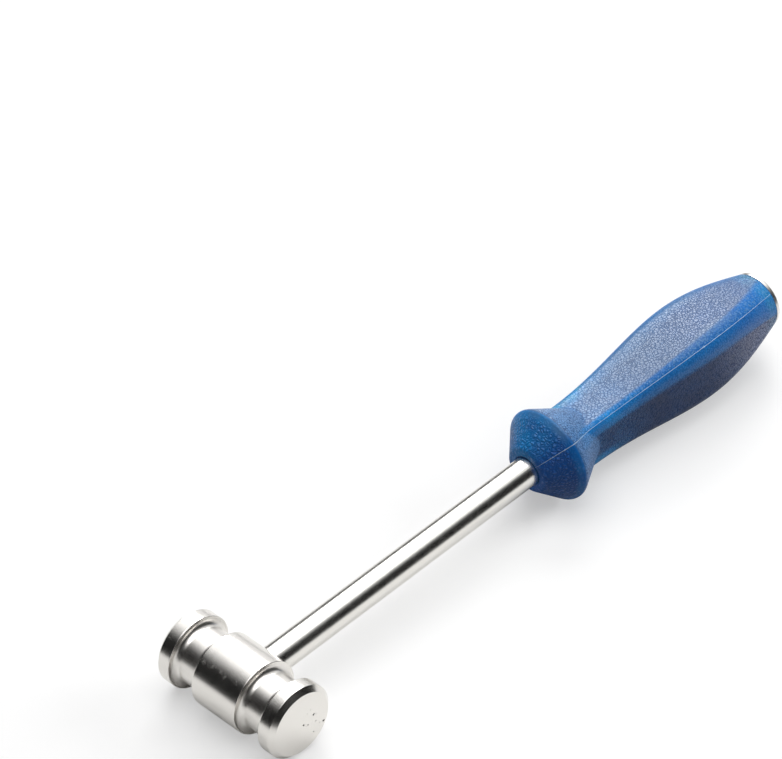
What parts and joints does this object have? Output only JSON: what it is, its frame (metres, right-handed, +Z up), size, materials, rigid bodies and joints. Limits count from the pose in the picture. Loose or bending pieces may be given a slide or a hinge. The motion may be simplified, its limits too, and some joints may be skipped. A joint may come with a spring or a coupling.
{
  "type": "surgical mallet",
  "caption": "Double-faced steel mallet with a grooved cylindrical head, a round shaft and a moulded plastic grip with a guard and a metal end plate.",
  "frame": {"origin": "on the surface that the mallet lies on, under the middle of its box", "axes": "+X along the head towards the pitted striking face, +Y from the head to the end plate, +Z up"},
  "size_m": [0.051, 0.2472, 0.0329],
  "materials": {
    "head_steel": "turned and satin polished stainless steel",
    "shaft_steel": "drawn and polished stainless steel bar",
    "blue_plastic": "moulded plastic with a fine leather grain and a thin parting line",
    "plate_steel": "turned stainless steel"
  },
  "bodies": {
    "root": {"head": "head_steel", "shaft": "shaft_steel", "handle": "blue_plastic", "end_plate": "plate_steel"}
  },
  "joints": []
}
